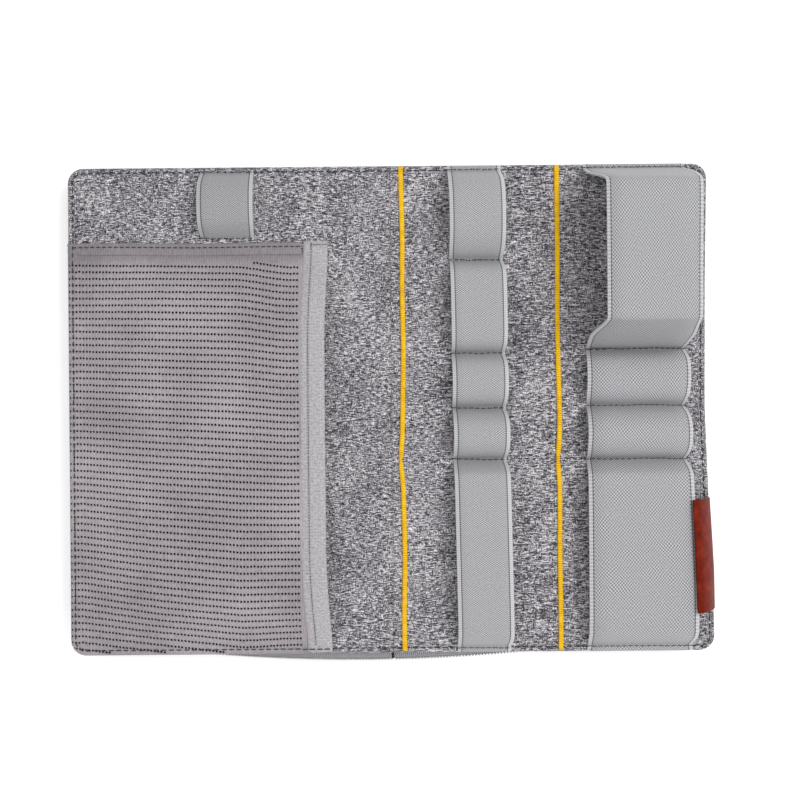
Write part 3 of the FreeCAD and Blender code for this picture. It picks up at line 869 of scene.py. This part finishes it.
def slip_pocket(name, edge_x, layer, seed, cloth):
    """One slip pocket's sheet, from its bound edge to the panel's edge."""
    x_lines = panel_lines(edge_x - 0.9, HALF_X, 1.7, fine_low=False)
    y_lines = panel_lines(-HALF_Y, HALF_Y, 1.7)
    gx, gy = grid(x_lines, y_lines)
    near = 1 - smooth(gx, edge_x, edge_x + 30)
    x, y = round_corners(gx, gy, HALF_X, HALF_Y, CORNER)
    x = x * (HALF_X - 0.35) / HALF_X + edge_wander(y, seed) * near
    y = y * (HALF_Y - 0.3) / HALF_Y
    pressed = pressed_thin(x, y)
    base = face_z(x, y) + POCKET_CLOTH * (layer - 1) * pressed
    slack = 0.12 * (1 + ripple(x, y, 38.0, seed)) * smooth(inside_distance(x, y), 4, 20) * near
    top = base + POCKET_CLOTH * pressed + slack - divider_dip(y) * smooth(x, edge_x, edge_x + 3)
    points, faces = two_sided(np.stack([x, y, top], -1), np.stack([x, y, base - 0.05], -1))
    return make_piece(name, points, faces, cloth, "heather_cloth")


def binding(name, edge_x, layer, seed, tape):
    """Yellow tape folded over a pocket's edge."""
    y = np.arange(HALF_Y - 0.7, -HALF_Y + 0.6, -1.0)
    x = np.full(len(y), edge_x - BINDING_WIDTH / 2) + edge_wander(y, seed)
    nip = 1 - 0.35 * bell(y, DIVIDER_Y, 1.6)
    z = face_z(x, y) + POCKET_CLOTH * (layer - 1) - 0.25 * bell(y, DIVIDER_Y, 1.2)
    line = np.column_stack([x, y, z])
    ring = []
    for turn in np.linspace(math.pi, 0, 9):
        ring.append((BINDING_WIDTH / 2 * math.cos(turn), 0.15 + 1.0 * math.sin(turn) ** 0.6))
    ring += [(BINDING_WIDTH / 2 - 0.2, 0.0), (-BINDING_WIDTH / 2 + 0.2, 0.0)]
    return strip(name, line, X_WAY, ring, tape, "yellow_binding", nip, up=UP)


def make_slip_pockets(cloth, tape, thread):
    for name, edge_x, layer, seed in (
            ("slip_pocket_wide", WIDE_EDGE, 1, 21), ("slip_pocket_narrow", NARROW_EDGE, 2, 22)):
        sheet = slip_pocket(name + "_cloth", edge_x, layer, seed, cloth)
        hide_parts(name)
        trim = binding(name.replace("pocket", "binding") + "_tape", edge_x, layer, seed, tape)
        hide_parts(name.replace("pocket", "binding"))
        on_front(sheet, 1)
        on_front(trim, 1)
    x = np.arange(WIDE_EDGE + 1.5, HALF_X - 3.5, 3.1)
    y = DIVIDER_Y + 0.15 * ripple(x, 0.0, 30.0, 31)
    z = face_z(x, y) + cover_height(x, y) - divider_dip(y) + 0.05
    on_front(stitches("divider_stitch", np.column_stack([x, y, z]), 2.4, 0.2, thread, "heather_cloth"), 1)


# ---------------------------------------------------------------- mesh pocket

MESH_HIGH = node_box("mesh_pocket")[1]
MESH_RISE = MESH_HIGH[2] - Z_FACE - 0.8
HOLE_PITCH = 1.49
ROW_PITCH = 2.98
HOLE_HALF = 0.56
HOLE_JITTER = (0.04, 0.05)
ROW_LENGTH = 94.5
ROWS_DEPTH = 148.0
UNDER_TAPE = 2.4
MESH_CLOTH = 0.25
MESH_SEAM = 0.2
MESH_TAPE = 0.75
THREAD_LIFT = 0.78
TAPE_STITCH_IN = 3.65
TAPE_STITCH_PITCH = 1.3


def mesh_lift(x, y):
    """How high the mesh stands over the face: sewn down on three sides, slack and open on the right."""
    sides = smooth(x, -HALF_X + 3.4, -HALF_X + 46) ** 0.8
    lower, upper = smooth(y, -HALF_Y + 3.4, -HALF_Y + 26), smooth(-y, -HEM_HIGH[1] + 4.5, -HEM_HIGH[1] + 30)
    ends = lower ** 0.8 * upper ** 0.8
    full = MESH_RISE * sides * ends
    folds = 0.55 * ripple(x * 0.5 + y, y * 0.35, 58.0, 41) + 0.3 * ripple(x, y, 33.0, 42)
    return np.maximum(full + folds * np.minimum(sides, ends) ** 0.5, 0.0)


def mesh_z(x, y):
    """The mesh's underside: its lift, and the fold of its own edge under it at the seams."""
    turned = 0.6 * (1 - smooth(inside_distance(x, y), 2.0, 6.0))
    return face_z(x, y) + mesh_lift(x, y) + turned


def row_drop(x, y):
    """How far a row of holes has run down by x: the cloth is sewn in askew and pulls at its open edge."""
    along = np.clip((x + HALF_X - 5.3) / ROW_LENGTH, 0, 1)
    down = np.clip((HEM_LOW[1] - 13 - y) / ROWS_DEPTH, 0, 1.2)
    upper = 2.0 * along + 2.8 * smooth(along, 0.72, 1.0)
    lower = 8.3 * np.minimum(along / 0.75, 1) - 0.7 * smooth(along, 0.75, 1.0)
    return (1 - down) * upper + down * lower


def mesh_points(x, y):
    """The place of a point of the flat mesh once it is sewn on."""
    moved = np.clip(y - row_drop(x, y), -HALF_Y + MESH_SEAM, HEM_LOW[1] + 0.8)
    corner_x, corner_y = round_corners(x, moved, HALF_X - MESH_SEAM, HALF_Y - MESH_SEAM, CORNER)
    return np.stack([corner_x, corner_y, mesh_z(corner_x, corner_y) + MESH_CLOTH], -1)


def make_mesh_pocket(cloth):
    """The mesh itself, with every hole cut through it."""
    left, right = -HALF_X + MESH_SEAM, TAPE_LOW[0] + UNDER_TAPE
    columns = int((right - left) / HOLE_PITCH)
    x_lines = np.linspace(left, right, columns + 1)
    y_lines = np.arange(FIRST_ROW + 3.5 * ROW_PITCH, -HALF_Y - ROW_PITCH, -ROW_PITCH)[::-1]
    rows = len(y_lines) - 1
    gx, gy = grid(x_lines, y_lines)
    corners = mesh_points(gx, gy)
    shown = corners[:, 1:, 1] - corners[:, :-1, 1] > 0.02
    shown = shown[:-1] | shown[1:]
    corners = corners.reshape(-1, 3)
    cx, cy = grid((x_lines[:-1] + x_lines[1:]) / 2, (y_lines[:-1] + y_lines[1:]) / 2)
    cx = cx + rng.normal(0, HOLE_JITTER[0], cx.shape)
    cy = cy + rng.normal(0, HOLE_JITTER[1], cy.shape)
    row_y = cy - row_drop(cx, cy)
    pierced = (row_y < FIRST_ROW + 0.6) & (row_y > -HALF_Y + 1.4)
    pierced &= (cx > left + 0.7) & (cx < right - UNDER_TAPE)
    turns = np.radians([-150, -90, -30, 30, 90, 150])
    holes = np.stack([mesh_points(cx + HOLE_HALF * np.cos(turn), cy + HOLE_HALF * np.sin(turn))
                      for turn in turns], 2)
    numbers = np.full(cx.shape, -1)
    numbers[pierced] = np.arange(pierced.sum())
    points = np.concatenate([corners, holes[pierced].reshape(-1, 3)])
    faces = []
    for i in range(columns):
        for j in range(rows):
            if not shown[i, j]:
                continue
            a = i * (rows + 1) + j
            b, c, d = a + rows + 1, a + rows + 2, a + 1
            if numbers[i, j] < 0:
                faces.append((a, b, c, d))
                continue
            h = [len(corners) + numbers[i, j] * len(turns) + k for k in range(len(turns))]
            faces += [(a, b, h[1]), (b, h[2], h[1]), (b, c, h[3], h[2]), (c, h[4], h[3]),
                      (c, d, h[4]), (d, h[5], h[4]), (d, a, h[0], h[5]), (a, h[1], h[0])]
    under = points - [0, 0, MESH_CLOTH]
    piece = make_piece("mesh_pocket_cloth", *closed_sheet(points, under, faces), cloth, "mesh_cloth")
    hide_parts("mesh_pocket")
    return piece, (right - left, HEM_LOW[1] + 0.8 + HALF_Y - MESH_SEAM)


def make_mesh_hem(cloth, thread):
    """The turned hem along the pocket's top edge, with its bead and its stitched groove."""
    x = np.arange(-HALF_X + 0.5, TAPE_LOW[0] + 1.3, 1.2)
    middle = (HEM_LOW[1] + HEM_HIGH[1]) / 2
    half = (HEM_HIGH[1] - HEM_LOW[1]) / 2
    y = middle + 0.3 * ripple(x, 0.0, 70.0, 51)
    line = np.column_stack([x, y, face_z(x, y) + 0.05])
    ring = [(-half, 0.5), (-half + 0.25, 0.95), (-half + 0.7, 1.15), (-half + 1.2, 1.0), (-half + 1.6, 0.7),
            (-half + 1.9, 0.62), (-half + 2.3, 0.75), (-half + 3.0, 0.85), (half - 1.0, 0.8), (half - 0.3, 0.7),
            (half, 0.45), (half - 0.2, 0.0), (-half + 0.2, 0.0)]
    hem = strip("mesh_top_hem_roll", line, (0, -1, 0), ring, cloth, "mesh_cloth")
    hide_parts("mesh_top_hem")
    x = np.arange(-HALF_X + 3.5, TAPE_LOW[0] - 1, 2.6)
    y = HEM_HIGH[1] - 1.9 + 0.3 * ripple(x, 0.0, 70.0, 51)
    z = face_z(x, y) + THREAD_LIFT
    return hem, stitches("mesh_hem_stitch", np.column_stack([x, y, z]), 2.1, 0.22, thread, "mesh_cloth")


def tape_x(y):
    """The tape's middle line: its right edge pulls in a little between its sewn ends."""
    near, far = smooth(y, -HALF_Y, -HALF_Y + 50), smooth(-y, -HEM_HIGH[1], -HEM_HIGH[1] + 50)
    return (TAPE_LOW[0] + TAPE_HIGH[0]) / 2 + 1.2 - 1.4 * near * far + 0.7 * (1 - near)


def make_mesh_tape(tape, thread):
    """Grosgrain tape bound over the mesh's open edge."""
    width = TAPE_HIGH[0] - TAPE_LOW[0]
    y = np.arange(HEM_HIGH[1] + 0.4, -HALF_Y + 0.4, -1.0)
    x = tape_x(y)
    line = np.column_stack([x, y, mesh_z(x, y) + MESH_CLOTH + 0.3])
    line[:, 2] = np.convolve(np.pad(line[:, 2], 4, mode="edge"), np.ones(9) / 9, mode="valid")
    piece = strip("mesh_edge_tape_bound", line, X_WAY, strap_ring(width, MESH_TAPE), tape, "grosgrain_tape")
    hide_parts("mesh_edge_tape")
    at = np.arange(1.2, lengths(line)[-1] - 3.0, TAPE_STITCH_PITCH)
    places = at_distance(line, at) + [-width / 2 + TAPE_STITCH_IN, 0.0, THREAD_LIFT]
    directions = unit(at_distance(line, at + 0.5) - at_distance(line, at - 0.5))
    ups = unit(np.cross(X_WAY, directions))
    across = np.arange(-width / 2 + TAPE_STITCH_IN, width / 2, TAPE_STITCH_PITCH)
    end_row = at_distance(line, [1.7]) + np.column_stack([across, across * 0, across * 0 + THREAD_LIFT])
    places = np.concatenate([places, end_row])
    directions = np.concatenate([directions, np.tile(X_WAY, (len(across), 1))])
    ups = np.concatenate([ups, np.tile(UP, (len(across), 1))])
    row = stitches("mesh_tape_stitch", places, 0.9, 0.17, thread, "grosgrain_tape", directions, ups)
    return piece, row


def make_mesh_set(mesh_cloth, tape, thread):
    cloth, (width, length) = make_mesh_pocket(mesh_cloth)
    hem, hem_row = make_mesh_hem(mesh_cloth, thread)
    edge, edge_row = make_mesh_tape(tape, thread)
    for piece in (cloth, hem, hem_row, edge, edge_row):
        on_front(piece, -1)


# ---------------------------------------------------------------- elastic bands

NIP = 0.03
CREASE = 0.45
ROW_HALF = 0.35
ROW_RISE = 0.05
BAND_SINK = 0.1
BAND_THICK = 0.85
BAND_SELVEDGE = 0.15
STRETCH = (13, 33)              # a band is narrower where it rises between these

# Each loop, from the zip's far side to the zip: the stitch row it starts from, and its corners as
# (distance from the panel's middle, rise). The same loops as the CAD bands have.
NARROW_ROWS = [107.4, 67.0, 25.0, 0.3, -22.7, -107.5]
NARROW_CORNERS = [
    [(102.6, 7.2), (96.5, 10.4), (87.0, 11.0), (77.5, 9.6), (71.5, 5.4)],
    [(64.0, 5.6), (60.0, 8.3), (46.0, 8.6), (32.5, 8.2), (28.0, 5.4)],
    [(21.5, 5.8), (16.5, 8.1), (9.5, 8.1), (4.0, 5.6)],
    [(-2.6, 6.0), (-7.0, 9.6), (-14.0, 9.8), (-19.5, 6.2)],
    [(-27.2, 6.8), (-30.6, 8.9), (-65.0, 8.8), (-98.6, 8.9), (-102.4, 6.8)],
]
WIDE_ROWS = [108.0, 26.3, 1.0, -23.0, -106.9]
WIDE_CORNERS = [
    [(104.0, 10.8), (100.2, 22.3), (97.3, 30.4), (95.6, 32.5), (91.0, 33.1), (68.0, 33.2), (40.0, 33.1),
     (37.6, 32.6), (36.7, 30.8), (31.8, 16.4), (28.2, 5.4)],
    [(22.6, 5.8), (17.5, 8.1), (10.5, 8.1), (5.0, 5.6)],
    [(-2.0, 6.0), (-7.0, 9.6), (-14.0, 9.8), (-19.8, 6.2)],
    [(-27.4, 6.8), (-30.9, 8.9), (-65.0, 8.8), (-98.2, 8.9), (-102.0, 6.8)],
]
CABLE_ROWS = [107.4, 77.5]
CABLE_CORNERS = [[(104.0, 4.2), (99.5, 7.6), (92.0, 8.5), (84.5, 7.4), (80.6, 4.0)]]


def band_line(x, rows, corners, base, tail):
    """The underside of a band as points, from the panel's far edge to tail."""
    line = [(HALF_Y - 0.15, base - 1.5), (HALF_Y - 0.5, base - 0.45), (rows[0] + 0.8, base)]
    for row, following, bends in zip(rows, rows[1:], corners):
        over = [(y, base + rise) for y, rise in bends]
        ends = [(row - ROW_HALF, base + ROW_RISE)], [(following + ROW_HALF, base + ROW_RISE)]
        line += cut_corners(ends[0] + over + ends[1]).tolist()
    line += [(rows[-1] - 0.8, base)] + [(y, base + z) for y, z in tail]
    flat = resample(line, 0.75)
    return np.column_stack([np.full(len(flat), x), flat])


def nips(line, rows, depth, reach=3.2):
    """A band's width at each point, drawn in at its stitch rows."""
    width = np.ones(len(line))
    for row in rows:
        width -= depth * bell(line[:, 1], row, reach)
    return width


def row_stitches(name, x0, x1, rows, base, lean, thread, slot, pitch=2.7, lift=1.02):
    """The thread across a band at each of its stitch rows."""
    x = np.arange(x0 + 0.9, x1 - 0.5, pitch)
    places = []
    for row in rows:
        wander = 0.18 * ripple(x, row, 17.0, 61)
        places.append(np.column_stack([x + lean(row, 0.0), row + wander, np.full(len(x), base + lift)]))
    return stitches(name, np.concatenate(places), pitch * 0.8, 0.2, thread, slot)


def make_band(name, node, rows, corners, creases, layers, tail, material, thread, side, lean, top_share=1.0):
    """One elastic band. creases are where it bends hard over what it holds, lean gives its sideways shift
    from its distance along the pouch and its rise, top_share is how narrow it is stretched highest, and
    layers is the number of slip pockets under it."""
    base = Z_FACE - BAND_SINK + layers * POCKET_CLOTH
    low, high = node_box(node)
    width = high[0] - low[0]
    line = band_line((low[0] + high[0]) / 2, rows, corners, base, tail)
    rise = line[:, 2] - base
    stretch = smooth(rise, *STRETCH)
    widths = nips(line, rows, NIP) * (1 - (1 - top_share) * stretch)
    line[:, 0] += lean(line[:, 1], rise)
    for crease in creases:
        line[:, 2] -= CREASE * bell(line[:, 1], crease, 0.7)
    ring = strap_ring(width, BAND_THICK, BAND_SELVEDGE, edge=2.1)
    band = strip(name, line, X_WAY, ring, material, "elastic_webbing", widths)
    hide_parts(node)
    row = row_stitches(name + "_stitch", low[0], high[0], rows, base, lean, thread, "elastic_webbing")
    for piece in (band, row):
        on_front(piece, side)


def narrow_lean(y, rise):
    """The narrow band runs a little askew, and its loops are pushed over."""
    return np.interp(y, [-107.5, -22.7, 25.0, 107.4], [2.0, 0.6, 0.2, -1.0]) + 0.05 * np.clip(rise, 0, 12)


def wide_lean(y, rise):
    askew = np.interp(y, [-107.0, -60.0, -23.0, 26.0, 40.0], [0.4, 0.5, 0.5, 0.6, 0.0])
    return 1.2 * smooth(rise, *STRETCH) + askew


def cable_lean(y, rise):
    return 0.7 + 0.02 * rise


def make_bands(narrow, wide, short, thread):
    tucked = [(-HALF_Y + 0.5, -0.45), (-HALF_Y + 0.15, -1.5)]
    cut_end = [(node_box("cable_loop_left")[0][1] - 0.8, 0.0)]
    make_band("narrow_elastic", "narrow_elastic_band", NARROW_ROWS, NARROW_CORNERS, [-97.4], 1, tucked,
              narrow, thread, 1, narrow_lean)
    make_band("wide_elastic", "wide_elastic_band", WIDE_ROWS, WIDE_CORNERS, [-97.0, 37.9], 2, tucked,
              wide, thread, 1, wide_lean, 0.865)
    make_band("left_cable_elastic", "cable_loop_left", CABLE_ROWS, CABLE_CORNERS, [], 0, cut_end,
              short, thread, -1, cable_lean)


# ---------------------------------------------------------------- leather tab

SKEW = 0.2
LEATHER_THICK = 0.85


def skew_tab(tab, middle, half, right):
    """Leans the tab's sewn end, so that its far corner sits further out than its near one."""
    for vertex in tab.data.vertices:
        share = (vertex.co.y / MM - middle) / half
        reach = smooth(right - vertex.co.x / MM, 1.5, 8.0)
        vertex.co.x -= float(SKEW * share * reach) * MM


def make_leather_tab(leather):
    """A leather strip sewn to the wide band's right border, sloping down and over the panel's edge."""
    low, high = node_box("leather_end_tab")
    band_x = node_box("wide_elastic_band")[1][0] - 0.3
    top = high[2] - 0.9
    raw = [(band_x - 0.6, top), (band_x + 1.4, top - 0.1), (band_x + 5.0, top - 3.4),
           (high[0] - 3.5, Z_FACE + 3.6), (high[0] - 1.8, Z_FACE + 0.5), (high[0] - 1.15, Z_FACE - 1.4),
           (high[0] - 1.1, low[2] + 0.1)]
    flat = resample(cut_corners(raw, 3), 0.6)
    middle = (low[1] + high[1]) / 2 + 0.8
    line = np.column_stack([flat[:, 0], np.full(len(flat), middle), flat[:, 1]])
    half = (high[1] - low[1]) / 2 - 0.8
    thick = LEATHER_THICK
    border = [(-half, thick * 0.5), (-half + 0.2, thick * 0.92), (-half + 0.7, thick)]
    crown = [(y, thick + 0.08 * math.cos(y * 0.09)) for y in np.linspace(-half + 1.5, half - 1.5, 26)]
    ring = border + crown + [(-y, z) for y, z in border[::-1]] + [(half - 0.2, 0.0), (-half + 0.2, 0.0)]
    up = -unit(np.cross((0.0, 1.0, 0.0), np.gradient(line, axis=0)))
    tab = strip("leather_tab", line, (0, 1, 0), ring[::-1], leather, "brown_leather", up=up)
    skew_tab(tab, middle, half, high[0])
    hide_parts("leather_end_tab")
    on_front(tab, 1)


# ---------------------------------------------------------------- zip

JOINTS = {joint["name"]: joint for joint in frame["record"]["behaviour"]["joints"]}
ARC_X, ARC_Y = (value / MM for value in JOINTS["slider_travel"]["pos_m"][:2])
COIL_LOW, COIL_HIGH = node_box("zip_coil_back")
ARC_RADIUS = ARC_Y - COIL_LOW[1] - 1.2
COIL_PITCH = 1.45
FILAMENT = 0.4
COIL_OUT = 0.2
COIL_REACH = 0.8
COIL_RISE = 1.7
COIL_HALF = 1.0
CORD_RADIUS = 0.45
BEVEL_SEGMENTS = 3
BEVEL_ANGLE = 28


def on_arc(x, out=0.0):
    """Y on the zip's arc at x, moved outwards by out."""
    return ARC_Y - np.sqrt((ARC_RADIUS + out) ** 2 - (x - ARC_X) ** 2)


def make_coil(name, node, outward, nylon, x_range):
    """One side of the coil: a flattened helix that follows the arc. outward is 1 for the front's."""
    low_x, high_x = x_range
    per_turn = 12
    t = np.arange(int((high_x - low_x) / COIL_PITCH) * per_turn + 1) / per_turn
    angle = 2 * math.pi * (t + (0.5 if outward > 0 else 0.0))
    x = low_x + t * COIL_PITCH
    y = on_arc(x) - COIL_OUT - COIL_REACH * np.sin(angle)
    z = Z_SEAM + outward * (COIL_RISE + COIL_HALF * np.cos(angle))
    line = np.column_stack([x, y, z])
    coil = tube(name, line, FILAMENT, nylon, "zip_coil")
    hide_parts(node)
    return coil


def make_coil_cord(name, outward, thread, x_range):
    """The cord that the coil is wound round."""
    x = np.arange(x_range[0], x_range[1] + 0.1, 2.0)
    line = np.column_stack([x, on_arc(x) - COIL_OUT, np.full(len(x), Z_SEAM + outward * COIL_RISE)])
    return tube(name, line, CORD_RADIUS, thread, "zip_coil")


def make_zip_tape(name, node, outward, x_range, material):
    """The woven tape: sewn flat to the lining, then turned to stand along the coil."""
    x = np.arange(x_range[0], x_range[1] + 0.1, 2.0)
    inner_y = node_box(node)[1][1]
    section = np.array([(0.0, 4.05), (0.35, 4.05), (0.8, 4.07), (0.93, 3.95), (1.0, 3.5), (1.0, 2.95),
                        (1.0, 1.6)])
    gx = np.repeat(x[:, None], len(section), 1)
    gy = inner_y + (on_arc(gx) + COIL_OUT - inner_y) * section[:, 0]
    gz = Z_SEAM + outward * np.broadcast_to(section[:, 1], gx.shape)
    middle = np.stack([gx, gy, gz], -1)
    steps = np.gradient(middle, axis=1)
    normal = unit(np.stack([steps[:, :, 0] * 0, steps[:, :, 2], -steps[:, :, 1]], -1)) * 0.17
    over, under = middle + normal, middle - normal
    points, faces = two_sided(over, under)
    tape = make_piece(name, points, faces, material, "zip_tape")
    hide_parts(node)
    return tape


def make_end_tabs(cloth):
    """Cloth patches that close the corners beyond the zip."""
    for name in ("zip_end_tab_left", "zip_end_tab_right"):
        low, high = node_box(name)
        heights = np.linspace(low[2] - 1.2, high[2] + 0.2, 9)
        gx, gz = grid(np.linspace(low[0], high[0], 9), heights)
        bulge = 0.35 * np.cos((gz - Z_SEAM) / 3.0)
        near = np.stack([gx, on_arc(gx, 0.3) - bulge, gz], -1)
        far = np.stack([gx, on_arc(gx, -0.3) - bulge, gz], -1)
        points, faces = two_sided(far, near)
        tab = make_piece(name + "_cloth", points, faces, cloth, "heather_cloth")
        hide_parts(name)
        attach(tab, "back_shell")


def rounded_copy(node, body, material, radius):
    """A CAD node's own shape with its edges rounded."""
    source = frame["nodes"][node]
    piece = bpy.data.objects.new(node + "_rounded", source.data.copy())
    bpy.context.scene.collection.objects.link(piece)
    piece.matrix_world = source.matrix_world.copy()
    piece.data.materials.clear()
    piece.data.materials.append(material)
    for polygon in piece.data.polygons:
        polygon.use_smooth = False
    bevel = piece.modifiers.new("round", "BEVEL")
    bevel.width = radius * MM
    bevel.segments = BEVEL_SEGMENTS
    bevel.limit_method = "ANGLE"
    bevel.angle_limit = math.radians(BEVEL_ANGLE)
    final = bpy.data.meshes.new_from_object(piece.evaluated_get(bpy.context.evaluated_depsgraph_get()))
    piece.modifiers.clear()
    piece.data = final
    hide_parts(node)
    if body == "front_organizer":
        on_front(piece, 1)
    else:
        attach(piece, body)


def make_zip(tape, nylon, metal, thread, cloth):
    low, high = COIL_LOW[0], COIL_HIGH[0]
    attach(make_coil("zip_coil_back_nylon", "zip_coil_back", -1, nylon, (low, high)), "back_shell")
    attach(make_coil_cord("zip_cord_back", -1, thread, (low, high)), "back_shell")
    for side, name, x_range in ((-1, "left", (low, 0.0)), (1, "right", (0.0, high))):
        on_front(make_coil("zip_coil_front_" + name, "zip_coil_front", 1, nylon, x_range), side)
        on_front(make_coil_cord("zip_cord_front_" + name, 1, thread, x_range), side)
    ends = (node_box("zip_tape_back")[0][0], node_box("zip_tape_back")[1][0])
    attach(make_zip_tape("zip_tape_back_woven", "zip_tape_back", -1, ends, tape), "back_shell")
    for side, name, x_range in ((-1, "left", (ends[0], 0.0)), (1, "right", (0.0, ends[1]))):
        on_front(make_zip_tape("zip_tape_front_" + name, "zip_tape_front", 1, x_range, tape), side)
    make_end_tabs(cloth)
    for node, body, radius in (
            ("zip_slider_body", "zip_slider", 0.3), ("zip_bail", "zip_slider", 0.22),
            ("zip_pull", "zip_pull_tab", 0.22), ("zip_bottom_stop", "back_shell", 0.3),
            ("zip_top_stop_back", "back_shell", 0.3),
            ("zip_top_stop_front", "front_organizer", 0.3)):
        rounded_copy(node, body, metal, radius)


# ---------------------------------------------------------------- the whole pouch

make_camera()
make_studio()

heather = heather_material()
dark_thread = thread_material("dark_thread", 46)
make_panels(heather)
make_linings(lining_material())
make_topstitch(dark_thread)
make_slip_pockets(heather, yellow_material(), dark_thread)
make_mesh_set(mesh_material(), grosgrain_material(), dark_thread)
# The cable loop's webbing is the same elastic as the narrow band, with painted shade: 0.95 as bright.
make_bands(elastic_material("narrow_elastic_weave", 25.0, 1.28, 0.97),
           elastic_material("wide_elastic_weave", 48.0, 1.37, 1.58),
           elastic_material("cable_elastic_weave_painted_shade", 24.7, 1.25, 0.92, 0.95), dark_thread)
make_leather_tab(leather_material())
make_zip(zip_tape_material(), coil_material(), metal_material(), thread_material("zip_cord", 14), heather)
